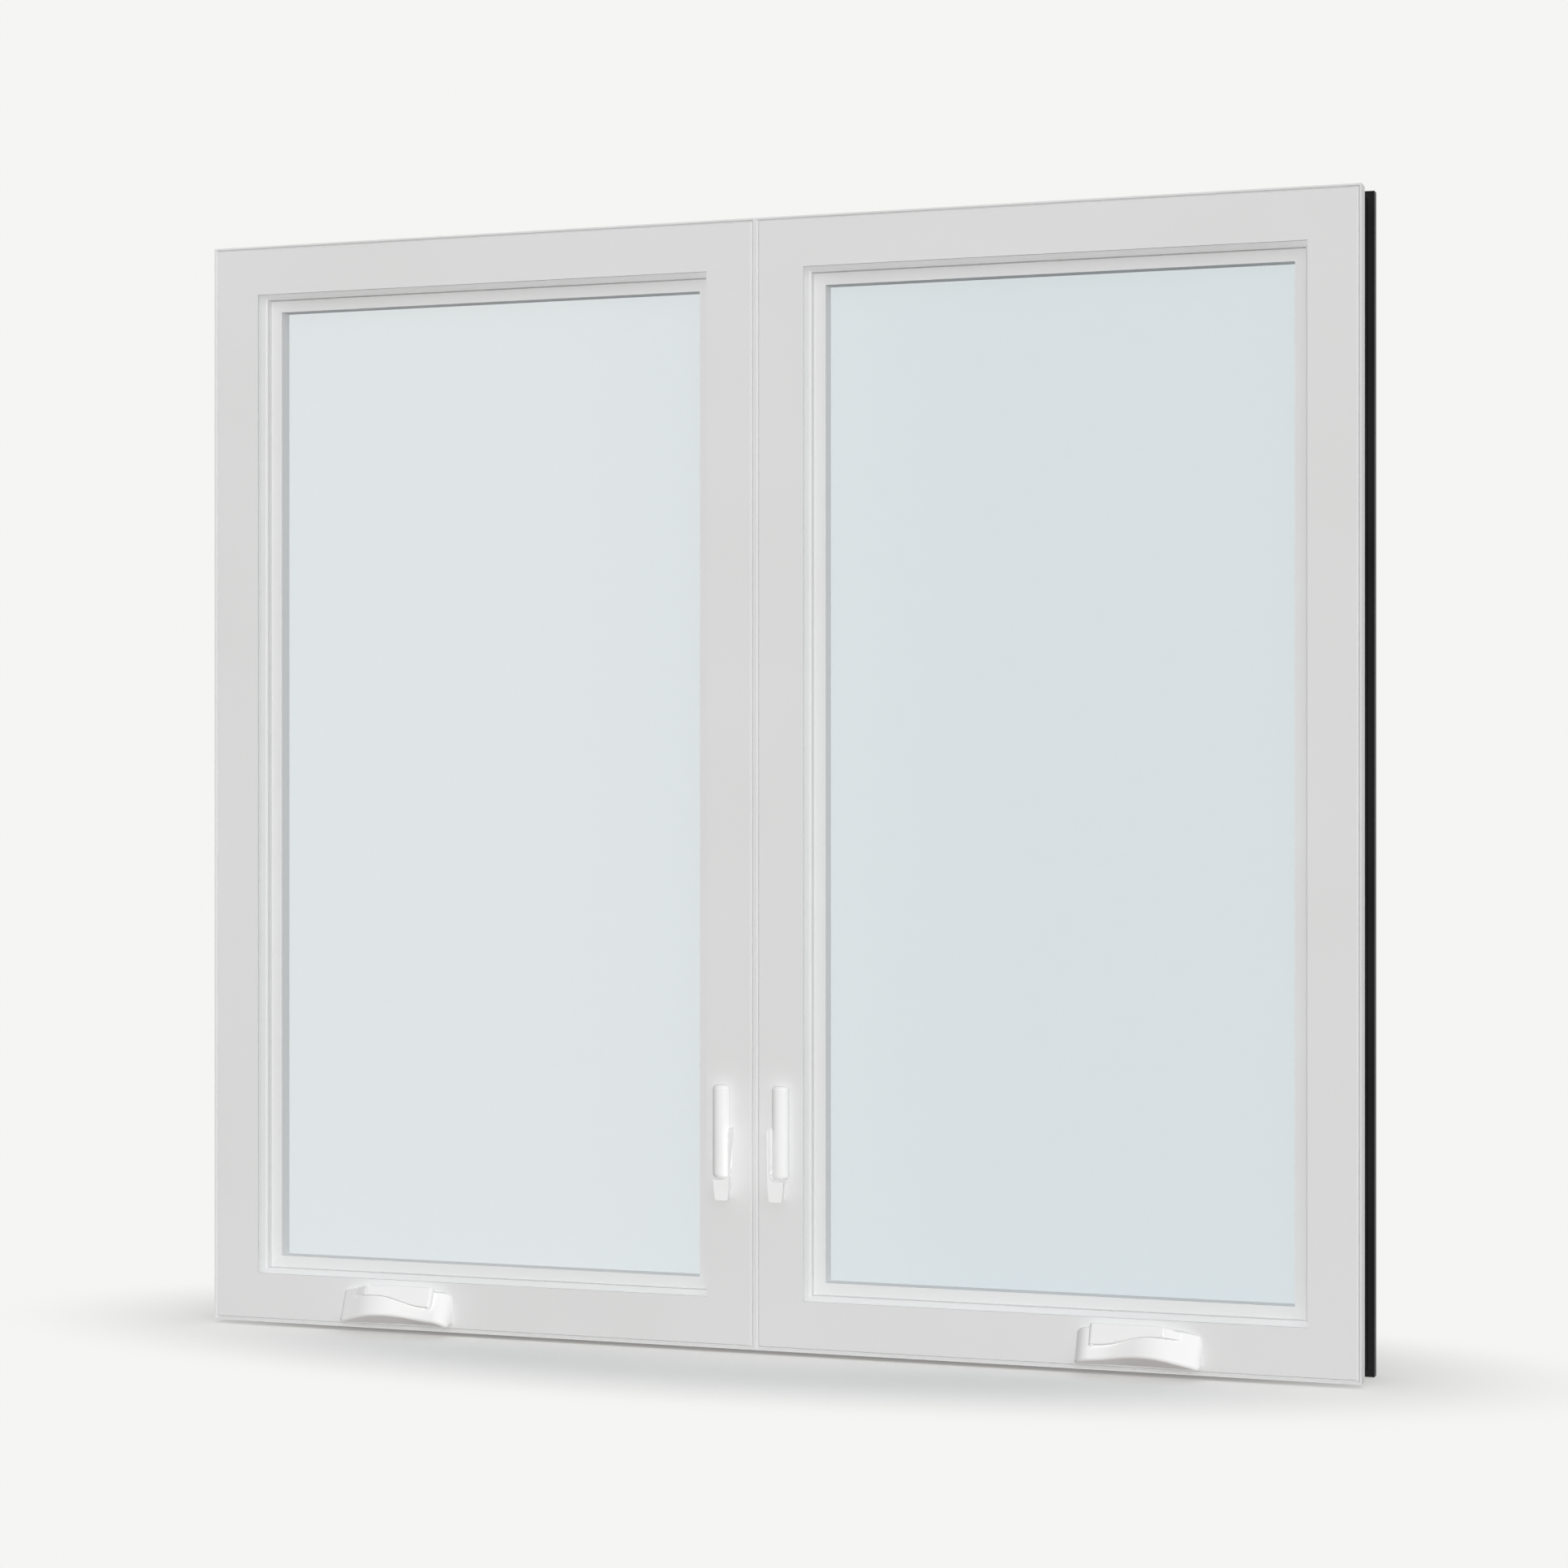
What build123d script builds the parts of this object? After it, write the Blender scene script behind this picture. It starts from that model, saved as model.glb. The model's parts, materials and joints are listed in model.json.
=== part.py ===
from build123d import *
import os
from math import cos, radians, sin

# Double casement window. X runs along the wall, Y from the room to the outside, Z up.
# Origin: the wall face of the outside flange, at the middle, level with the frame's underside.

# Overall sizes
unit_width = 640.0
frame_height = 1200.0
frame_depth = 83.0
unit_gap = 0.3

# Outer frame, seen from outside
flange_set = 67.0
flange_stand = 3.5
flange_lip = 1.6
flange_lip_height = 0.8
flange_groove_at = 4.6
flange_groove = 1.0
body_inset = 8.0
body_width = 34.0
nose_chamfer = 4.0
cover_strip_width = 44.0
cover_strip_thickness = 3.0

# White frame liner, seen from the room
liner_depth = 22.0
frame_face = 54.0
rim_width = 1.8
rim_groove_width = 3.0
rim_groove_depth = 2.0
lip_thickness = 3.0
lip_root_thickness = 8.0
lip_taper_width = 8.0

# Sash and sealed glass
sash_gap = 4.0
sash_set = 15.0
sash_show = 4.2
sash_bevel_width = 2.6
sash_bevel_depth = 1.0
stop_set = 25.5
stop_width = 12.6
glass_set = 44.0
pane_thickness = 4.0
pane_gap = 12.0
glass_bite = 16.0
glass_edge_gap = 2.0
bedding_gap = 0.3
sash_depth = 65.0
bead_setback = 12.0
bead_face = 1.7
bead_fall = 7.8
spacer_width = 6.5
strip_inset = 2.0
strip_width = 6.0
bar_gap = 0.3

# Crank operator, at the hinge end of each sill
cover_near = 349.0
cover_tail = 20.0
cover_foot = 8.0
cover_rise = 37.0
cover_top_stand = 9.0
cover_slope = 24.0
cover_level = 0.2
cover_swell = 12.0
cover_crest_back = 9.0
cover_end_drop = 8.0
cover_near_round = 16.0
cover_rise_round = 100.0
cover_crest_round = 60.0
cover_end_round = 10.0
cover_end_fall = 5.0
cover_near_fall = 1.5
cover_near_corner = 10.0
cover_end_corner = 7.0
cover_foot_corner = 3.0
chin_from_near = 50.0
chin_rise = 8.6
chin_near_slope = 0.08
chin_far_slope = 0.05
chin_curve = 200.0
chin_pitch = 33.0
chin_round = 4.0

handle_inset = 17.0
handle_length = 76.2
hub_length = 16.8
handle_top = 2.4
handle_edge_round = 0.9
grip_width = 21.8
grip_length = 20.0
grip_rise = 1.2
grip_height = 8.0
nose_round = 4.0
neck_width = 11.6
neck_length = 10.7
neck_height = 10.0
taper_length = 24.0
hub_drop = 3.6
hub_end_height = 2.0
hub_bend = 2.0
hub_round = 20.0
handle_back = 1.5
pocket_gap = 0.9
knuckle_radius = 1.4
knuckle_ear = 1.3
fold_pin_radius = 0.7
fold_sink = 0.4
fold_relief = 0.25
fold_pin_gap = 0.05
nub_radius = 2.0
nub_inset = 3.0
nub_drop = 1.1

# Sash lock, on the lock jamb of each unit
lever_middle = 33.0
lever_width = 18.8
lever_thickness = 15.0
lever_centre_stand = 12.0
lever_length = 91.5
lever_end_drop = 7.5
lever_round = 5.2
lever_pin_radius = 2.5
lever_pin_gap = 0.05
lever_pin_reach = 13.0
lever_pin_root = 0.8
lever_room = 0.7
lever_foot_room = 1.4
lock_foot = 160.0
lock_pivot_rise = 30.5
lock_foot_width = 14.1
lock_foot_inset = 2.4
lock_waist = 20.0
lock_waist_inset = 0.8
lock_waist_round = 200.0
lock_cup_width = 19.1
lock_cup_height = 25.0
lock_notch_corner = 6.5
lock_head_draft = 1.8
lock_foot_draft = 4.6
lock_free_draft = 4.5
lock_corner = 2.0
plate_thickness = 3.0
plate_width = 14.0
arm_thickness = 2.4
arm_height = 76.5
arm_stand = 21.5
head_radius = 6.5
head_slot_width = 1.4
head_slot_depth = 2.0

# Places worked out from the sizes above
room_face = -flange_set
sash_edge = body_width + sash_gap
step_edge = frame_face + sash_show
stop_edge = step_edge + stop_width
glass_edge = stop_edge - glass_bite
glass_back = glass_set + 2 * pane_thickness + pane_gap
sash_back = sash_set + sash_depth
mitre_out = 30.0
mitre_in = 150.0
through = 200.0

whole_box = (-unit_width, unit_width, 0.0, frame_height)
unit_box = (unit_gap / 2, unit_width, 0.0, frame_height)


def depth_y(depth):
    """Y of a point that lies this far behind the room face of the frame."""
    return room_face + depth


def prism(points, direction, length):
    """Solid swept straight from a closed flat outline."""
    return extrude(make_face(Polyline(*points, close=True)), amount=length, dir=direction)


def mitred_bar(profile, side, box):
    """One side of a rectangular ring; profile points are (inward from box edge, depth)."""
    x0, x1, z0, z1 = box
    if side in ("head", "sill"):
        edge, inward = (z0, 1) if side == "sill" else (z1, -1)
        section = [(x0 - mitre_out, depth_y(d), edge + inward * u) for u, d in profile]
        bar = prism(section, (1, 0, 0), x1 - x0 + 2 * mitre_out)
        outline = [
            (x0 - mitre_out, edge - inward * mitre_out),
            (x1 + mitre_out, edge - inward * mitre_out),
            (x1 - mitre_in, edge + inward * mitre_in),
            (x0 + mitre_in, edge + inward * mitre_in),
        ]
    else:
        edge, inward = (x0, 1) if side == "left" else (x1, -1)
        section = [(edge + inward * u, depth_y(d), z0 - mitre_out) for u, d in profile]
        bar = prism(section, (0, 0, 1), z1 - z0 + 2 * mitre_out)
        outline = [
            (edge - inward * mitre_out, z0 - mitre_out),
            (edge - inward * mitre_out, z1 + mitre_out),
            (edge + inward * mitre_in, z1 - mitre_in),
            (edge + inward * mitre_in, z0 + mitre_in),
        ]
    wedge = prism([(x, -through, z) for x, z in outline], (0, 1, 0), 2 * through)
    return bar & wedge


def square_bars(u0, u1, d0, d1, box):
    """Four straight bars round a unit, butted with a small gap: two level, then two upright."""
    x0, x1, z0, z1 = box
    level = Box(x1 - x0 - 2 * u0, d1 - d0, u1 - u0)
    upright = Box(u1 - u0, d1 - d0, z1 - z0 - 2 * u1 - 2 * bar_gap)
    mid_x = (x0 + x1) / 2
    mid_y = depth_y((d0 + d1) / 2)
    mid_z = (z0 + z1) / 2
    mid_u = (u0 + u1) / 2
    return [
        Pos(mid_x, mid_y, z0 + mid_u) * level,
        Pos(mid_x, mid_y, z1 - mid_u) * level,
        Pos(x0 + mid_u, mid_y, mid_z) * upright,
        Pos(x1 - mid_u, mid_y, mid_z) * upright,
    ]


# Profiles, as (inward from the unit's edge, depth behind the room face)
groove_middle = rim_width + rim_groove_width / 2
rim_inner = rim_width + rim_groove_width
liner_profile = [
    (0, 0),
    (rim_width, 0),
    (groove_middle, rim_groove_depth),
    (rim_inner, 0),
    (frame_face, 0),
    (frame_face, lip_thickness),
    (frame_face - lip_taper_width, lip_root_thickness),
    (body_width, lip_root_thickness),
    (body_width, liner_depth),
    (0, liner_depth),
]
lip_inner = flange_lip - flange_stand
outer_profile = [
    (body_inset, liner_depth),
    (body_width, liner_depth),
    (body_width, frame_depth),
    (nose_chamfer - flange_stand, frame_depth),
    (-flange_stand, frame_depth - nose_chamfer),
    (-flange_stand, flange_set - flange_lip_height),
    (lip_inner, flange_set - flange_lip_height),
    (lip_inner, flange_set),
    (flange_groove_at - flange_groove, flange_set),
    (flange_groove_at, flange_set + flange_groove),
    (flange_groove_at + flange_groove, flange_set),
    (body_inset, flange_set),
]
sash_profile = [
    (sash_edge, sash_set),
    (step_edge - sash_bevel_width, sash_set),
    (step_edge, sash_set + sash_bevel_depth),
    (step_edge, stop_set),
    (stop_edge, stop_set),
    (stop_edge, glass_set),
    (sash_edge, glass_set),
]
rebate_edge = glass_edge - glass_edge_gap
bead_edge = stop_edge - bead_setback
bead_start = glass_back + bedding_gap
sash_outer_profile = [
    (sash_edge, glass_set),
    (rebate_edge, glass_set),
    (rebate_edge, bead_start),
    (bead_edge, bead_start),
    (bead_edge, bead_start + bead_face),
    (bead_edge - bead_fall, sash_back),
    (sash_edge, sash_back),
]


def outer_frame():
    """Dark outer frame round both units, its middle post and the post's outside cover strip."""
    nodes = {
        "exterior_head": mitred_bar(outer_profile, "head", whole_box),
        "exterior_sill": mitred_bar(outer_profile, "sill", whole_box),
        "exterior_left_jamb": mitred_bar(outer_profile, "left", whole_box),
        "exterior_right_jamb": mitred_bar(outer_profile, "right", whole_box),
    }
    post_height = frame_height - 2 * body_width
    post_depth = frame_depth - liner_depth
    post = Box(2 * body_width, post_depth, post_height)
    nodes["exterior_mullion"] = Pos(0, depth_y(liner_depth + post_depth / 2), frame_height / 2) * post
    strip = Box(cover_strip_width, cover_strip_thickness, post_height)
    strip_y = depth_y(frame_depth + cover_strip_thickness / 2)
    nodes["mullion_cover"] = Pos(0, strip_y, frame_height / 2) * strip
    return nodes


def unit_frame_and_sash():
    """White liner, sash, sealed glass and weatherstrip of the right-hand unit."""
    nodes = {
        "frame_head": mitred_bar(liner_profile, "head", unit_box),
        "frame_sill": mitred_bar(liner_profile, "sill", unit_box),
        "frame_hinge_jamb": mitred_bar(liner_profile, "right", unit_box),
        "frame_lock_jamb": mitred_bar(liner_profile, "left", unit_box),
        "sash_top_rail": mitred_bar(sash_profile, "head", unit_box),
        "sash_bottom_rail": mitred_bar(sash_profile, "sill", unit_box),
        "sash_hinge_stile": mitred_bar(sash_profile, "right", unit_box),
        "sash_lock_stile": mitred_bar(sash_profile, "left", unit_box),
    }
    rails = [mitred_bar(sash_outer_profile, side, unit_box) for side in ("head", "sill")]
    stiles = [mitred_bar(sash_outer_profile, side, unit_box) for side in ("left", "right")]
    nodes["sash_outer_rails"] = rails[0] + rails[1]
    nodes["sash_outer_stiles"] = stiles[0] + stiles[1]

    x0, x1, z0, z1 = unit_box
    pane = Box(x1 - x0 - 2 * glass_edge, pane_thickness, z1 - z0 - 2 * glass_edge)
    middle_x = (x0 + x1) / 2
    middle_z = (z0 + z1) / 2
    inner_y = depth_y(glass_set + pane_thickness / 2)
    outer_y = inner_y + pane_thickness + pane_gap
    nodes["inner_pane"] = Pos(middle_x, inner_y, middle_z) * pane
    nodes["outer_pane"] = Pos(middle_x, outer_y, middle_z) * pane

    gap_start = glass_set + pane_thickness
    spacer = square_bars(glass_edge, glass_edge + spacer_width, gap_start, gap_start + pane_gap, unit_box)
    nodes["glass_spacer"] = spacer[0] + spacer[1:]
    strip_edge = sash_edge + strip_inset
    seal = square_bars(strip_edge, strip_edge + strip_width, lip_root_thickness, sash_set, unit_box)
    nodes["weatherstrip"] = seal[0] + seal[1:]
    return nodes


# The operator's sloping face: local x along the sill, y up the slope, z out of the face
slope_sin = sin(radians(cover_slope))
slope_cos = cos(radians(cover_slope))
handle_free_end = cover_near + handle_inset
handle_fold = handle_free_end + handle_length
hub_end = handle_fold + hub_length
cover_far = hub_end + cover_tail
cover_length = cover_far - cover_near
cover_top = cover_foot + cover_rise
slope_origin = (0, room_face - cover_top_stand, cover_top)
slope_up = (0, slope_sin, slope_cos)
slope_out = (0, -slope_cos, slope_sin)
slope_face = Plane(origin=slope_origin, x_dir=(1, 0, 0), z_dir=slope_out)
slope_side = Plane(origin=slope_origin, x_dir=(1, 0, 0), z_dir=tuple(-v for v in slope_up))

fold_height = neck_height - fold_sink - knuckle_radius
neck_low = handle_top - neck_width
grip_low = handle_top - grip_width
taper_share = taper_length / (taper_length + hub_length)
fold_top = handle_top - hub_drop * taper_share ** 2


def rounded_face(corners, rounds):
    """Flat face with straight sides, each corner rounded by its own radius or left sharp by a zero."""
    face = make_face(Polyline(*corners, close=True))
    for corner, radius in zip(corners, rounds):
        if radius:
            face = fillet(face.vertices().sort_by_distance(corner)[0], radius)
    return face


def handle_outline(grow):
    """Face view of the handle and hub together, grown by a margin on every side."""
    start = handle_free_end - grow
    end = hub_end + grow
    low_curve = Spline(
        (start, grip_low - grow),
        (handle_free_end + grip_length, grip_low + grip_rise - grow),
        (handle_fold - neck_length, neck_low - grow),
        tangents=[(1, 0), (1, 0)],
    )
    top_curve = Spline(
        (handle_fold - taper_length, handle_top + grow),
        (end, handle_top - hub_drop + grow),
        tangents=[(1, 0), (taper_length + hub_length, -2 * hub_drop)],
    )
    return make_face([
        low_curve,
        Line(low_curve @ 1, (end, neck_low - grow)),
        Line((end, neck_low - grow), top_curve @ 1),
        top_curve,
        Line(top_curve @ 0, (start, handle_top + grow)),
        Line((start, handle_top + grow), low_curve @ 0),
    ])


def fold_cylinder(radius, low, high):
    """Round bar on the handle's fold axis, between two heights up the slope."""
    bar = Cylinder(radius, high - low, align=(Align.CENTER, Align.CENTER, Align.MIN))
    base = slope_side.from_local_coords(Vector(handle_fold, fold_height, -low))
    return Plane(origin=base, x_dir=(1, 0, 0), z_dir=slope_up) * bar


def face_block(x0, x1, y0, y1, z0, z1):
    """Square block given in the sloping face's own directions."""
    block = Box(x1 - x0, y1 - y0, z1 - z0)
    return slope_face * (Pos((x0 + x1) / 2, (y0 + y1) / 2, (z0 + z1) / 2) * block)


def operator_cover():
    """Swollen cover with its arched, rounded chin and the pocket that the handle folds into."""
    side_corners = [
        (cover_near, -through / 2),
        (cover_near, cover_level),
        (cover_near + 2 * handle_inset, cover_level),
        (handle_fold - cover_crest_back, cover_swell),
        (cover_far, -cover_end_drop),
        (cover_far, -through / 2),
    ]
    side_rounds = [0, cover_near_round, cover_rise_round, cover_crest_round, cover_end_round, 0]
    side = rounded_face(side_corners, side_rounds)
    body = extrude(slope_side * side, amount=through, both=True)

    pitch_sin = sin(radians(chin_pitch))
    pitch_cos = cos(radians(chin_pitch))
    chin_stand = cover_top_stand + (cover_rise - chin_rise) * slope_sin / slope_cos
    chin_peak = (cover_near + chin_from_near, room_face - chin_stand, cover_foot + chin_rise)
    chin_plane = Plane(origin=chin_peak, x_dir=(1, 0, 0), z_dir=(0, pitch_cos, -pitch_sin))
    chin_corners = [
        (-cover_length, chin_near_slope * cover_length),
        (0, 0),
        (cover_length, chin_far_slope * cover_length),
        (cover_length, through),
        (-cover_length, through),
    ]
    chin = rounded_face(chin_corners, [0, chin_curve, 0, 0, 0])
    body -= extrude(chin_plane * chin, amount=through, both=True)
    low_edges = body.edges().filter_by(lambda edge: edge.center().Z < cover_top)
    front_edges = low_edges.filter_by(lambda edge: edge.center().Y < room_face)
    chin_edges = front_edges.filter_by(lambda edge: edge.bounding_box().size.X > chin_round / 4)
    body = fillet(chin_edges, chin_round)

    front_corners = [
        (0, 0),
        (cover_length, 0),
        (cover_length, cover_rise - cover_end_fall),
        (cover_length - cover_tail, cover_rise),
        (2 * handle_inset, cover_rise),
        (0, cover_rise - cover_near_fall),
    ]
    front_rounds = [cover_foot_corner, cover_foot_corner, cover_end_corner, cover_tail, 0, cover_near_corner]
    front = rounded_face(front_corners, front_rounds)
    front_plane = Plane(origin=(cover_near, room_face, cover_foot), x_dir=(1, 0, 0), z_dir=(0, -1, 0))
    cover = body & extrude(front_plane * front, amount=through)
    return cover - extrude(slope_face * handle_outline(pocket_gap), amount=through)


def operator():
    """Crank cover, hub and folding handle of the right-hand unit."""
    side_corners = [
        (handle_free_end, 0),
        (handle_free_end, grip_height),
        (handle_fold + hub_bend, neck_height),
        (hub_end, hub_end_height),
        (hub_end, 0),
    ]
    side = rounded_face(side_corners, [0, nose_round, hub_round, 0, 0])
    outline = extrude(slope_face * handle_outline(0), amount=through)
    handle = outline & extrude(slope_side * side, amount=through, both=True)
    front_edges = handle.edges().filter_by(
        lambda edge: slope_face.to_local_coords(edge.center()).Z > hub_end_height
        and edge.bounding_box().size.X > nose_round)
    handle = fillet(front_edges, handle_edge_round)

    hub_start = handle_fold + knuckle_radius + fold_sink + fold_relief
    clear_start = handle_fold - knuckle_radius - fold_relief
    ears = ((neck_low, neck_low + knuckle_ear), (fold_top - knuckle_ear, fold_top))
    arm = handle & face_block(handle_free_end, handle_fold, grip_low, handle_top, handle_back, through)
    barrel = fold_cylinder(knuckle_radius, neck_low, handle_top)
    arm += barrel & face_block(handle_fold, hub_start, neck_low, handle_top, 0, through) & outline
    hub = handle & face_block(hub_start, hub_end, neck_low, handle_top, 0, through)
    for low, high in ears:
        arm -= face_block(clear_start, hub_start, low - fold_relief, high + fold_relief, 0, through)
        ear = fold_cylinder(knuckle_radius, low, high)
        ear += face_block(handle_fold - knuckle_radius, hub_start, low, high, 0, fold_height)
        hub += ear & outline
    arm -= fold_cylinder(fold_pin_radius + fold_pin_gap, neck_low - fold_relief, handle_top + fold_relief)
    hub += fold_cylinder(fold_pin_radius, neck_low, handle_top) & outline
    nub_base = slope_face.from_local_coords((handle_free_end + nub_inset, grip_low, grip_height / 2))
    nub = Plane(origin=nub_base, z_dir=slope_up) * Cylinder(nub_radius, 2 * nub_drop)
    arm += nub
    return {"operator_cover": operator_cover(), "crank_hub": hub, "crank_handle": arm}


def lock_outline(foot_draft, head_draft, free_draft):
    """Face view of the lock base, drawn in at its two sides: x from the arm's outer side."""
    corners = [
        (lock_foot_inset + foot_draft, 0),
        (lock_foot_inset + lock_foot_width - free_draft, 0),
        (lock_cup_width - free_draft, lock_cup_height),
        (lock_cup_width - free_draft, arm_height),
        (head_draft, arm_height),
        (lock_waist_inset + foot_draft, lock_waist),
    ]
    return rounded_face(corners, [lock_corner, lock_corner, 0, 0, 0, lock_waist_round])


def lock():
    """Sash lock of the right-hand unit: base with one arm and a pin, and the lever."""
    arm_far = lever_middle - lever_width / 2 - lever_room
    arm_near = arm_far - arm_thickness
    pivot_y = room_face - lever_centre_stand
    pivot_z = lock_foot + lock_pivot_rise
    lever_foot = pivot_z - lever_end_drop

    bar_plane = Plane(origin=(lever_middle, pivot_y, lever_foot))
    section = bar_plane * Ellipse(lever_width / 2, lever_thickness / 2)
    bar = extrude(section, amount=lever_length + lever_end_drop)
    lever = fillet(bar.faces().filter_by(Axis.Z).edges(), lever_round)
    pin_plane = Plane(origin=(arm_far - lever_pin_root, pivot_y, pivot_z), z_dir=(1, 0, 0))
    grounded = (Align.CENTER, Align.CENTER, Align.MIN)
    pin_length = lever_pin_root + lever_room + lever_pin_reach
    bore = Cylinder(lever_pin_radius + lever_pin_gap, pin_length + lever_pin_gap, align=grounded)
    lever -= pin_plane * bore

    back_plane = Plane(origin=(arm_near, room_face, lock_foot), x_dir=(1, 0, 0), z_dir=(0, -1, 0))
    back_face = back_plane * lock_outline(lock_foot_draft, lock_head_draft, lock_free_draft)
    base = loft([back_face, back_plane.offset(arm_stand) * lock_outline(0, 0, 0)])
    notch_width = lever_width + 2 * lever_room
    notch_foot = lock_pivot_rise - lever_end_drop - lever_foot_room
    notch = RectangleRounded(notch_width, 2 * arm_height, lock_notch_corner)
    notch_middle = Pos(arm_thickness + notch_width / 2, notch_foot + arm_height)
    base -= extrude(back_plane.offset(plate_thickness) * (notch_middle * notch), amount=through)
    free_side = Pos(plate_width + through / 2, lock_cup_height + through / 2) * Rectangle(through, through)
    base -= extrude(back_plane * free_side, amount=through)

    side_plane = Plane(origin=(arm_near, room_face, lock_foot), x_dir=(0, -1, 0), z_dir=(-1, 0, 0))
    top_corner = Rectangle(arm_stand, arm_height, align=(Align.MIN, Align.MIN))
    top_corner = fillet(top_corner.vertices().group_by(Axis.Y)[-1], head_radius)
    head_slot = Pos(arm_stand, arm_height - 2 * head_radius) * Rectangle(2 * head_slot_depth, head_slot_width)
    base &= extrude(side_plane * (top_corner - head_slot), amount=through, both=True)
    base += pin_plane * Cylinder(lever_pin_radius, pin_length, align=grounded)
    return {"lock_base": base, "lock_lever": lever}


def build():
    nodes = outer_frame()
    unit = unit_frame_and_sash() | operator() | lock()
    for name, shape in unit.items():
        nodes["right_" + name] = shape
        nodes["left_" + name] = mirror(shape, about=Plane.YZ)
    return nodes


os.makedirs("parts", exist_ok=True)
for node, shape in build().items():
    export_step(shape, f"parts/{node}.step")
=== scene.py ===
import bmesh
import bpy
import json
import math
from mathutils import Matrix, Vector


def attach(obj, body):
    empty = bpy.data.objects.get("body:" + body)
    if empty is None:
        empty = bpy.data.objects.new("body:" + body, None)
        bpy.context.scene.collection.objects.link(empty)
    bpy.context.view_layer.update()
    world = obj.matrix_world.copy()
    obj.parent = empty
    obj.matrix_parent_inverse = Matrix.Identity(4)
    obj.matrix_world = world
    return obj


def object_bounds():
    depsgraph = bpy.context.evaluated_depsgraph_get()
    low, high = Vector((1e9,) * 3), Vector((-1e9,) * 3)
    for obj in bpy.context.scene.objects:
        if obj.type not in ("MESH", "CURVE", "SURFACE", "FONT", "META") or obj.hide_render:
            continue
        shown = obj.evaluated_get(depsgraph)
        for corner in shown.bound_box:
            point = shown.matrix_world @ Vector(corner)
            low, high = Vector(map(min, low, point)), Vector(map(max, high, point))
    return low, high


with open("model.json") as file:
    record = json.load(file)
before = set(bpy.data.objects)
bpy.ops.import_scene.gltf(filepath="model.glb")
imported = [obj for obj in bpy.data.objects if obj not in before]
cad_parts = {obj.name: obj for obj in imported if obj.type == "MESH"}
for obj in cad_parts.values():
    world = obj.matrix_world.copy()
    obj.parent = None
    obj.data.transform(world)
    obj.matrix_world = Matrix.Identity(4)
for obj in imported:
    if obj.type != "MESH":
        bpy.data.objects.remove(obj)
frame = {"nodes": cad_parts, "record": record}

scene = bpy.context.scene
quarterTurn = math.radians(90)
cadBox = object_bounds()
nodes = frame["nodes"]
print("frame loaded:", len(nodes), "pieces of the window")

# camera where the photograph was taken: level with the middle of the glass, to the right
cameraSet = {"place": (1.110, -3.324, 0.600), "turn": 18.3, "lens": 74.53, "sensor": 36.0}

cameraData = bpy.data.cameras.new("windowCamera")
cameraData.lens = cameraSet["lens"]
cameraData.sensor_width = cameraSet["sensor"]
camera = bpy.data.objects.new("windowCamera", cameraData)
camera.location = cameraSet["place"]
camera.rotation_euler = (quarterTurn, 0, math.radians(cameraSet["turn"]))
scene.collection.objects.link(camera)
scene.camera = camera
scene.view_settings.view_transform = "Standard"
print("camera set")


# materials: one small builder for all the coats, then the glass
def newMaterial(name):
    material = bpy.data.materials.new(name)
    material.use_nodes = True
    tree = material.node_tree
    shader = tree.nodes["Principled BSDF"]
    return material, tree, shader


def addNode(tree, kind, **settings):
    node = tree.nodes.new(kind)
    for key, value in settings.items():
        setattr(node, key, value)
    return node


def noiseOn(tree, coords, scale, detail=2.0, stretch=(1, 1, 1)):
    mapping = addNode(tree, "ShaderNodeMapping")
    mapping.inputs["Scale"].default_value = stretch
    noise = addNode(tree, "ShaderNodeTexNoise")
    noise.inputs["Scale"].default_value = scale
    noise.inputs["Detail"].default_value = detail
    tree.links.new(coords.outputs["Object"], mapping.inputs["Vector"])
    tree.links.new(mapping.outputs["Vector"], noise.inputs["Vector"])
    return noise


def rampBetween(tree, source, low, high, start=0.35, end=0.65):
    ramp = addNode(tree, "ShaderNodeValToRGB")
    ramp.color_ramp.elements[0].position = start
    ramp.color_ramp.elements[1].position = end
    ramp.color_ramp.elements[0].color = (*low, 1)
    ramp.color_ramp.elements[1].color = (*high, 1)
    tree.links.new(source, ramp.inputs["Fac"])
    return ramp


def coatMaterial(name, look):
    material, tree, shader = newMaterial(name)
    coords = addNode(tree, "ShaderNodeTexCoord")
    broad = noiseOn(tree, coords, look["broadScale"])
    tone = rampBetween(tree, broad.outputs["Fac"], look["low"], look["high"])
    tree.links.new(tone.outputs["Color"], shader.inputs["Base Color"])
    fine = noiseOn(tree, coords, look["grainScale"], detail=3.0)
    gloss = addNode(tree, "ShaderNodeMapRange")
    gloss.inputs["To Min"].default_value = look["roughLow"]
    gloss.inputs["To Max"].default_value = look["roughHigh"]
    tree.links.new(fine.outputs["Fac"], gloss.inputs["Value"])
    tree.links.new(gloss.outputs["Result"], shader.inputs["Roughness"])
    bump = addNode(tree, "ShaderNodeBump")
    bump.inputs["Strength"].default_value = look["bump"]
    bump.inputs["Distance"].default_value = look["bumpDepth"]
    tree.links.new(fine.outputs["Fac"], bump.inputs["Height"])
    tree.links.new(bump.outputs["Normal"], shader.inputs["Normal"])
    shader.inputs["Metallic"].default_value = look.get("metal", 0.0)
    shader.inputs["Specular IOR Level"].default_value = look.get("specular", 0.5)
    return material


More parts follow.
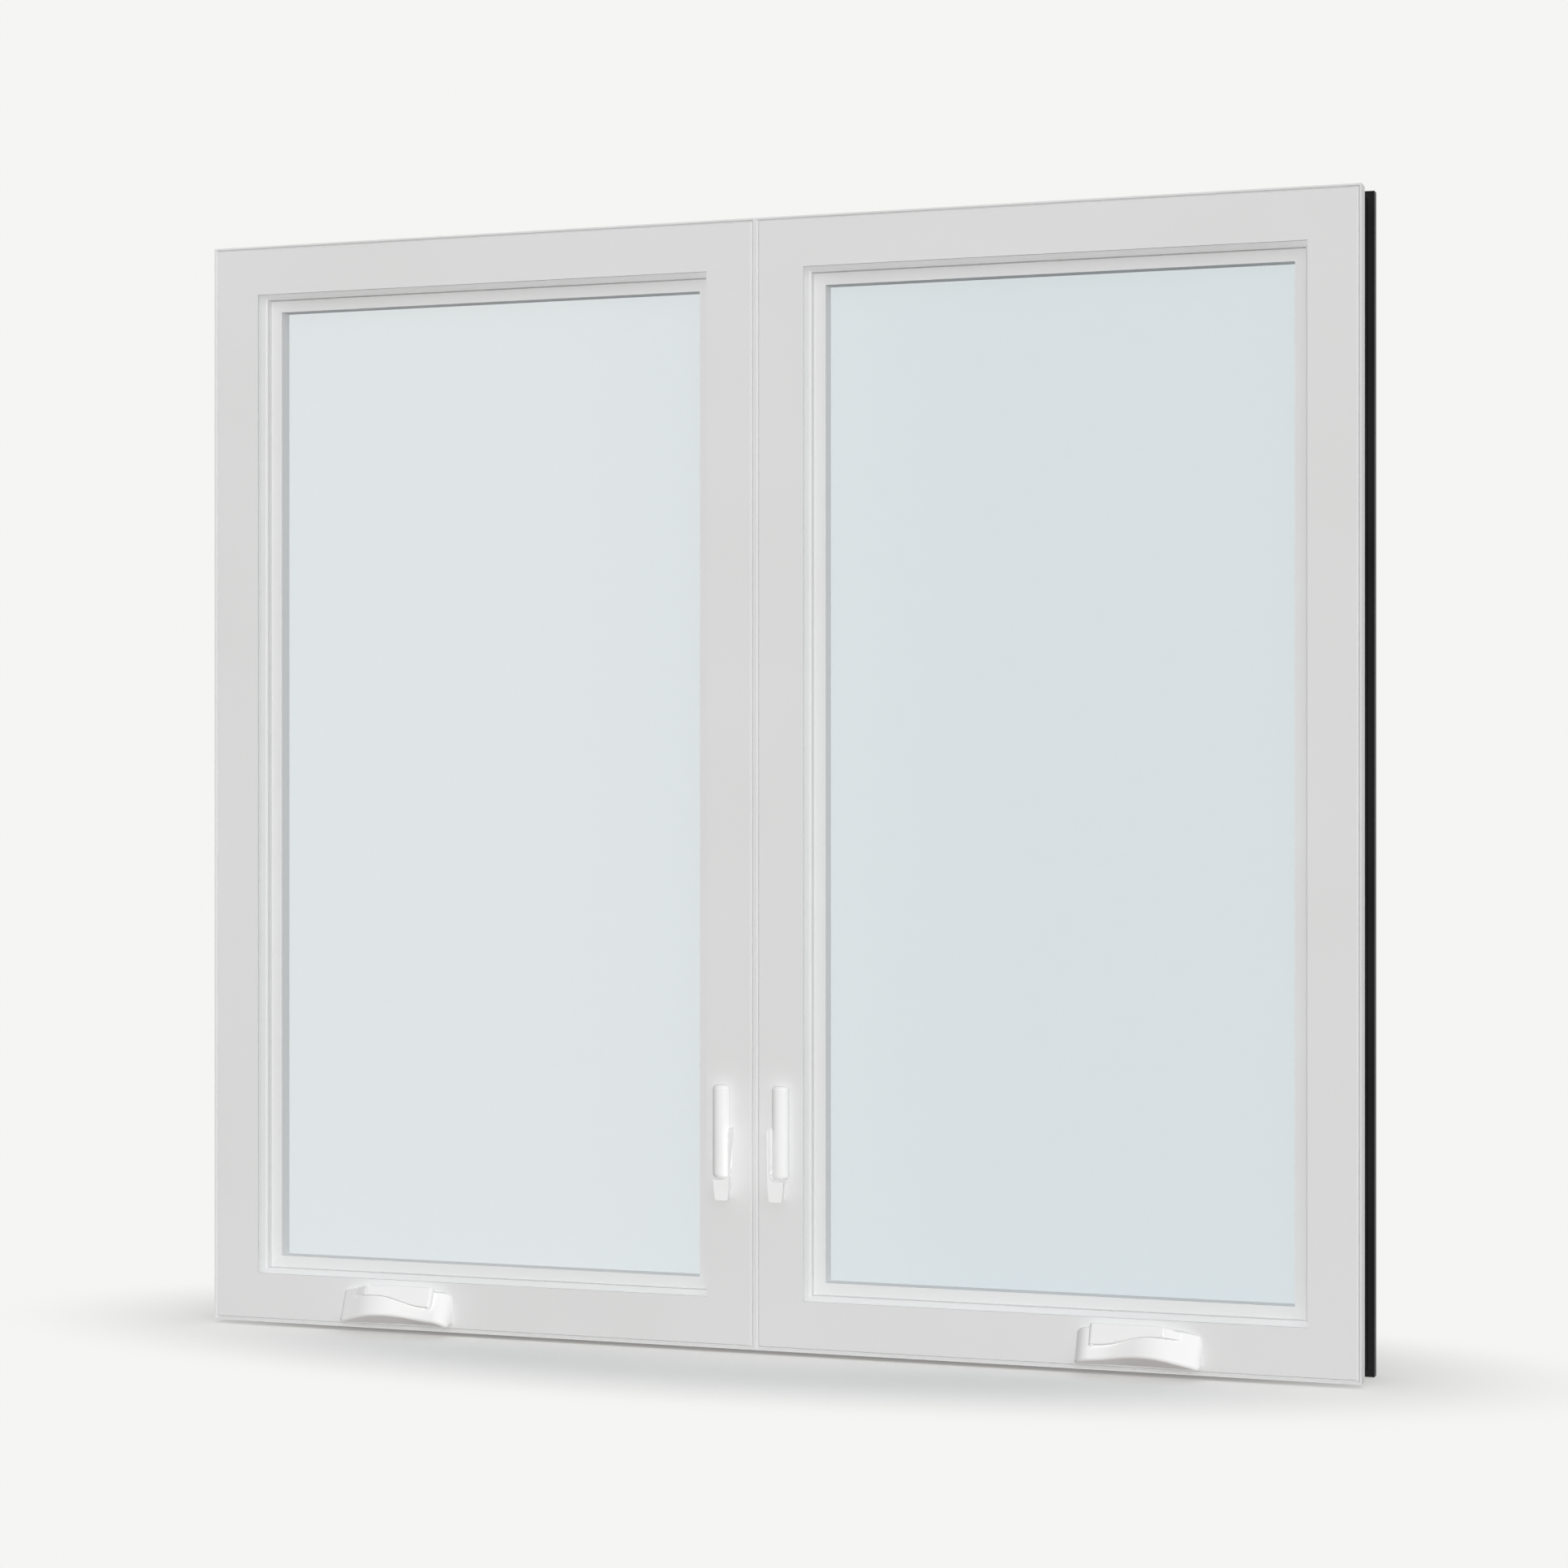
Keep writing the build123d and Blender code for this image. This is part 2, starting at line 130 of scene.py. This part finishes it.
frameCoat = coatMaterial("satinWhiteCoat", {
    "low": (0.721, 0.725, 0.724), "high": (0.739, 0.744, 0.746), "broadScale": 5.0,
    "grainScale": 900.0, "roughLow": 0.40, "roughHigh": 0.52, "bump": 0.06, "bumpDepth": 0.0002})
hardwareCoat = coatMaterial("hardwareEnamel", {
    "low": (0.870, 0.871, 0.869), "high": (0.888, 0.890, 0.890), "broadScale": 14.0,
    "grainScale": 700.0, "roughLow": 0.26, "roughHigh": 0.34, "bump": 0.04, "bumpDepth": 0.0002})
blackCoat = coatMaterial("satinBlackCoat", {
    "low": (0.017, 0.017, 0.0175), "high": (0.022, 0.022, 0.0225), "broadScale": 9.0,
    "specular": 0.05, "grainScale": 1200.0, "roughLow": 0.36, "roughHigh": 0.50,
    "bump": 0.10, "bumpDepth": 0.0002})
spacerCoat = coatMaterial("spacerAluminium", {
    "low": (0.52, 0.53, 0.54), "high": (0.60, 0.61, 0.62), "broadScale": 40.0,
    "grainScale": 600.0, "roughLow": 0.34, "roughHigh": 0.46, "bump": 0.05, "bumpDepth": 0.0002,
    "metal": 1.0})
sealRubber = coatMaterial("sealRubber", {
    "low": (0.30, 0.30, 0.30), "high": (0.36, 0.36, 0.36), "broadScale": 60.0,
    "grainScale": 1500.0, "roughLow": 0.70, "roughHigh": 0.85, "bump": 0.15, "bumpDepth": 0.0003})

# clear sealed glass: a thin see-through film of tone on each face, with faint upright streaks; the
# left pane is coloured lighter and the right pane darker, a painted reflection of the pale backdrop
paneLook = {
    "left": (0.427, 0.561, 0.632), "right": (0.241, 0.439, 0.556), "film": 0.10,
    "roughLow": 0.03, "roughHigh": 0.06, "across": 0.4, "turnStart": 0.2, "turnEnd": 0.8,
    "streakScale": 1.0, "streakDetail": 1.0, "streakStretch": (2.2, 1.0, 0.25)}
paneGlass, paneTree, paneShader = newMaterial("paneGlass")
paneCoords = addNode(paneTree, "ShaderNodeTexCoord")
paneSplit = addNode(paneTree, "ShaderNodeSeparateXYZ")
paneAcross = addNode(paneTree, "ShaderNodeMapRange")
paneAcross.inputs["From Min"].default_value = -paneLook["across"]
paneAcross.inputs["From Max"].default_value = paneLook["across"]
paneTree.links.new(paneCoords.outputs["Object"], paneSplit.inputs["Vector"])
paneTree.links.new(paneSplit.outputs["X"], paneAcross.inputs["Value"])
# painted reflection: this ramp across the panes colours the left pane lighter and the right pane
# darker than the glass's own tint
paneTintAndPaintedReflection = rampBetween(
    paneTree, paneAcross.outputs["Result"], paneLook["left"], paneLook["right"],
    paneLook["turnStart"], paneLook["turnEnd"])
paneTree.links.new(paneTintAndPaintedReflection.outputs["Color"], paneShader.inputs["Base Color"])
paneStreaks = noiseOn(
    paneTree, paneCoords, paneLook["streakScale"], paneLook["streakDetail"], paneLook["streakStretch"])
paneGloss = addNode(paneTree, "ShaderNodeMapRange")
paneGloss.inputs["To Min"].default_value = paneLook["roughLow"]
paneGloss.inputs["To Max"].default_value = paneLook["roughHigh"]
paneTree.links.new(paneStreaks.outputs["Fac"], paneGloss.inputs["Value"])
paneTree.links.new(paneGloss.outputs["Result"], paneShader.inputs["Roughness"])
paneShader.inputs["Alpha"].default_value = paneLook["film"]

finishes = {
    "liner_white": frameCoat, "sash_white": frameCoat, "hardware_white": hardwareCoat,
    "exterior_black": blackCoat, "glass_clear": paneGlass, "spacer_grey": spacerCoat,
    "seal_grey": sealRubber}
for part in frame["record"]["subparts"]:
    mesh = nodes[part["node"]].data
    mesh.materials.clear()
    mesh.materials.append(finishes[part["material_slot"]])
print("materials on all pieces")


# outside glazing bead, gap seal and weep hoods: paths and repeats made with geometry nodes
def nodeGroup(name, inputs):
    tree = bpy.data.node_groups.new(name, "GeometryNodeTree")
    sockets = {}
    for label, kind in inputs.items():
        socket = tree.interface.new_socket(label, in_out="INPUT", socket_type=kind)
        sockets[label] = socket.identifier
    tree.interface.new_socket("Geometry", in_out="OUTPUT", socket_type="NodeSocketGeometry")
    start = addNode(tree, "NodeGroupInput")
    end = addNode(tree, "NodeGroupOutput")
    return tree, sockets, start, end


def growPiece(name, tree, sockets, values, material):
    seed = bpy.data.objects.new(name + "Seed", bpy.data.meshes.new(name + "Seed"))
    scene.collection.objects.link(seed)
    modifier = seed.modifiers.new(name, "NODES")
    modifier.node_group = tree
    for label, value in values.items():
        modifier[sockets[label]] = value
    bpy.context.view_layer.update()
    grown = seed.evaluated_get(bpy.context.evaluated_depsgraph_get())
    mesh = bpy.data.meshes.new_from_object(grown)
    seed.modifiers.remove(modifier)
    bpy.data.objects.remove(seed)
    mesh.name = name
    shell = bmesh.new()
    shell.from_mesh(mesh)
    bmesh.ops.recalc_face_normals(shell, faces=shell.faces)
    shell.to_mesh(mesh)
    shell.free()
    mesh.materials.clear()
    mesh.materials.append(material)
    piece = bpy.data.objects.new(name, mesh)
    scene.collection.objects.link(piece)
    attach(piece, "window")
    return piece


def setMaterialEnd(tree, source, material, end):
    realize = addNode(tree, "GeometryNodeRealizeInstances")
    paint = addNode(tree, "GeometryNodeSetMaterial")
    paint.inputs["Material"].default_value = material
    tree.links.new(source, realize.inputs["Geometry"])
    tree.links.new(realize.outputs["Geometry"], paint.inputs["Geometry"])
    tree.links.new(paint.outputs["Geometry"], end.inputs["Geometry"])


# the bead and the seal share one path: a rectangle round each unit, given once for the right one
def pathValues(look):
    return {
        "Width": look["width"], "Height": look["height"], "Radius": look["radius"],
        "Middle": (look["middle"], look["depth"], look["level"]),
        "Other Middle": (-look["middle"], look["depth"], look["level"])}


glazingBead = {
    "width": 0.5222, "height": 1.0824, "middle": 0.320075, "level": 0.600, "depth": -0.0026,
    "radius": 0.0007, "sides": 10}
beadTree, beadSockets, beadStart, beadEnd = nodeGroup("glazingBead", {
    "Width": "NodeSocketFloat", "Height": "NodeSocketFloat", "Middle": "NodeSocketVector",
    "Other Middle": "NodeSocketVector", "Radius": "NodeSocketFloat"})
beadPath = addNode(beadTree, "GeometryNodeCurvePrimitiveQuadrilateral")
beadRound = addNode(beadTree, "GeometryNodeCurvePrimitiveCircle")
beadRound.inputs["Resolution"].default_value = glazingBead["sides"]
beadSweep = addNode(beadTree, "GeometryNodeCurveToMesh")
beadJoin = addNode(beadTree, "GeometryNodeJoinGeometry")
beadTree.links.new(beadStart.outputs["Width"], beadPath.inputs["Width"])
beadTree.links.new(beadStart.outputs["Height"], beadPath.inputs["Height"])
beadTree.links.new(beadStart.outputs["Radius"], beadRound.inputs["Radius"])
beadTree.links.new(beadPath.outputs["Curve"], beadSweep.inputs["Curve"])
beadTree.links.new(beadRound.outputs["Curve"], beadSweep.inputs["Profile Curve"])
for label in ("Middle", "Other Middle"):
    beadPlace = addNode(beadTree, "GeometryNodeTransform")
    beadPlace.inputs["Rotation"].default_value = (quarterTurn, 0, 0)
    beadTree.links.new(beadStart.outputs[label], beadPlace.inputs["Translation"])
    beadTree.links.new(beadSweep.outputs["Mesh"], beadPlace.inputs["Geometry"])
    beadTree.links.new(beadPlace.outputs["Geometry"], beadJoin.inputs["Geometry"])
setMaterialEnd(beadTree, beadJoin.outputs["Geometry"], sealRubber, beadEnd)
growPiece("glazingBead", beadTree, beadSockets, pathValues(glazingBead), sealRubber)

# dark seal in the gap between the outside sash and the outside frame, on the same kind of path
gapSeal = {
    "width": 0.567925, "height": 1.128, "middle": 0.3200375, "level": 0.600, "depth": 0.004,
    "radius": 0.00198}
growPiece("gapSeal", beadTree, beadSockets, pathValues(gapSeal), blackCoat)

weepHoods = {
    "count": 4, "first": (-0.510, 0.0160, 0.0130), "step": (0.340, 0, 0), "length": 0.034,
    "radius": 0.0045, "flat": 0.55, "sides": 24}
hoodTree, hoodSockets, hoodStart, hoodEnd = nodeGroup("weepHoods", {
    "Count": "NodeSocketInt", "First": "NodeSocketVector", "Step": "NodeSocketVector",
    "Length": "NodeSocketFloat", "Radius": "NodeSocketFloat"})
hoodRow = addNode(hoodTree, "GeometryNodeMeshLine", mode="OFFSET")
hoodBody = addNode(hoodTree, "GeometryNodeMeshCylinder")
hoodBody.inputs["Vertices"].default_value = weepHoods["sides"]
hoodTurn = addNode(hoodTree, "GeometryNodeTransform")
hoodTurn.inputs["Rotation"].default_value = (0, quarterTurn, 0)
hoodTurn.inputs["Scale"].default_value = (1, weepHoods["flat"], 1)
hoodPlace = addNode(hoodTree, "GeometryNodeInstanceOnPoints")
hoodTree.links.new(hoodStart.outputs["Count"], hoodRow.inputs["Count"])
hoodTree.links.new(hoodStart.outputs["First"], hoodRow.inputs["Start Location"])
hoodTree.links.new(hoodStart.outputs["Step"], hoodRow.inputs["Offset"])
hoodTree.links.new(hoodStart.outputs["Radius"], hoodBody.inputs["Radius"])
hoodTree.links.new(hoodStart.outputs["Length"], hoodBody.inputs["Depth"])
hoodTree.links.new(hoodBody.outputs["Mesh"], hoodTurn.inputs["Geometry"])
hoodTree.links.new(hoodRow.outputs["Mesh"], hoodPlace.inputs["Points"])
hoodTree.links.new(hoodTurn.outputs["Geometry"], hoodPlace.inputs["Instance"])
setMaterialEnd(hoodTree, hoodPlace.outputs["Instances"], blackCoat, hoodEnd)
growPiece("weepHoods", hoodTree, hoodSockets, {
    "Count": weepHoods["count"], "First": weepHoods["first"], "Step": weepHoods["step"],
    "Length": weepHoods["length"], "Radius": weepHoods["radius"]}, blackCoat)
print("glazing bead, gap seal and weep hoods on the outside")

# studio: pale floor and background; the floor is darker only to light that bounces off it
studio = {
    "background": (0.913, 0.913, 0.896), "sky": (0.36, 0.36, 0.365), "floor": (0.96, 0.96, 0.945),
    "floorBounce": (0.34, 0.31, 0.295), "floorReach": 30.0, "floorDrop": 0.0005,
    "floorSpread": (1.05, 2.6, 0.0), "fadeStart": 0.45, "fadeEnd": 1.0}


def seenDirectly(tree):
    path = addNode(tree, "ShaderNodeLightPath")
    orGlossy = addNode(tree, "ShaderNodeMath", operation="MAXIMUM")
    orThrough = addNode(tree, "ShaderNodeMath", operation="MAXIMUM")
    tree.links.new(path.outputs["Is Camera Ray"], orGlossy.inputs[0])
    tree.links.new(path.outputs["Is Glossy Ray"], orGlossy.inputs[1])
    tree.links.new(orGlossy.outputs["Value"], orThrough.inputs[0])
    tree.links.new(path.outputs["Is Transmission Ray"], orThrough.inputs[1])
    return orThrough.outputs["Value"]


def mixShaders(tree, share, first, second):
    mix = addNode(tree, "ShaderNodeMixShader")
    tree.links.new(share, mix.inputs["Fac"])
    tree.links.new(first, mix.inputs[1])
    tree.links.new(second, mix.inputs[2])
    return mix.outputs["Shader"]


world = bpy.data.worlds.new("studioWorld")
world.use_nodes = True
scene.world = world
worldTree = world.node_tree
worldTree.nodes.clear()
skyLight = addNode(worldTree, "ShaderNodeBackground")
skyLight.inputs["Color"].default_value = (*studio["sky"], 1)
backdrop = addNode(worldTree, "ShaderNodeBackground")
backdrop.inputs["Color"].default_value = (*studio["background"], 1)
worldOut = addNode(worldTree, "ShaderNodeOutputWorld")
worldMix = mixShaders(
    worldTree, seenDirectly(worldTree), skyLight.outputs["Background"], backdrop.outputs["Background"])
worldTree.links.new(worldMix, worldOut.inputs["Surface"])

# floor: keeps the soft shadow close to the window, and turns into the backdrop farther away
reach = studio["floorReach"]
floorMesh = bpy.data.meshes.new("studioFloor")
floorLevel = cadBox[0].z - studio["floorDrop"]
floorMesh.from_pydata(
    [(-reach, -reach, floorLevel), (reach, -reach, floorLevel),
     (reach, reach, floorLevel), (-reach, reach, floorLevel)],
    [], [(0, 1, 2, 3)])
floor = bpy.data.objects.new("studioFloor", floorMesh)
scene.collection.objects.link(floor)
floorPaint = bpy.data.materials.new("studioFloorPaint")
floorPaint.use_nodes = True
floorTree = floorPaint.node_tree
floorTree.nodes.clear()
floorOut = addNode(floorTree, "ShaderNodeOutputMaterial")
floorNear = addNode(floorTree, "ShaderNodeBsdfDiffuse")
floorNear.inputs["Color"].default_value = (*studio["floor"], 1)
floorFar = addNode(floorTree, "ShaderNodeEmission")
floorFar.inputs["Color"].default_value = (*studio["background"], 1)
floorBounce = addNode(floorTree, "ShaderNodeBsdfDiffuse")
floorBounce.inputs["Color"].default_value = (*studio["floorBounce"], 1)
floorCoords = addNode(floorTree, "ShaderNodeTexCoord")
floorSpread = addNode(floorTree, "ShaderNodeMapping")
floorSpread.inputs["Scale"].default_value = studio["floorSpread"]
floorAway = addNode(floorTree, "ShaderNodeVectorMath", operation="LENGTH")
floorFade = addNode(floorTree, "ShaderNodeMapRange", interpolation_type="SMOOTHSTEP")
floorFade.inputs["From Min"].default_value = studio["fadeStart"]
floorFade.inputs["From Max"].default_value = studio["fadeEnd"]
floorTree.links.new(floorCoords.outputs["Object"], floorSpread.inputs["Vector"])
floorTree.links.new(floorSpread.outputs["Vector"], floorAway.inputs[0])
floorTree.links.new(floorAway.outputs["Value"], floorFade.inputs["Value"])
floorSeen = mixShaders(
    floorTree, floorFade.outputs["Result"], floorNear.outputs["BSDF"], floorFar.outputs["Emission"])
floorMix = mixShaders(floorTree, seenDirectly(floorTree), floorBounce.outputs["BSDF"], floorSeen)
floorTree.links.new(floorMix, floorOut.inputs["Surface"])
floorMesh.materials.append(floorPaint)

# a soft key and an even fill from the same side, and a fill on the outside; the fills cast no shadow
lamps = {
    "softKey": {"from": (0.40, -0.68, 0.12), "strength": 0.84, "spread": 60, "shadow": True},
    "frontFill": {"from": (0.40, -0.68, 0.12), "strength": 1.80, "spread": 30, "shadow": False},
    "backFill": {"from": (-0.60, 0.70, 0.25), "strength": 1.30, "spread": 30, "shadow": False},
}
for lampName, lamp in lamps.items():
    lampData = bpy.data.lights.new(lampName, "SUN")
    lampData.energy = lamp["strength"]
    lampData.angle = math.radians(lamp["spread"])
    lampData.use_shadow = lamp["shadow"]
    lampObject = bpy.data.objects.new(lampName, lampData)
    lampObject.rotation_euler = Vector(lamp["from"]).to_track_quat("Z", "Y").to_euler()
    lampObject.visible_glossy = False
    scene.collection.objects.link(lampObject)
print("studio lit")
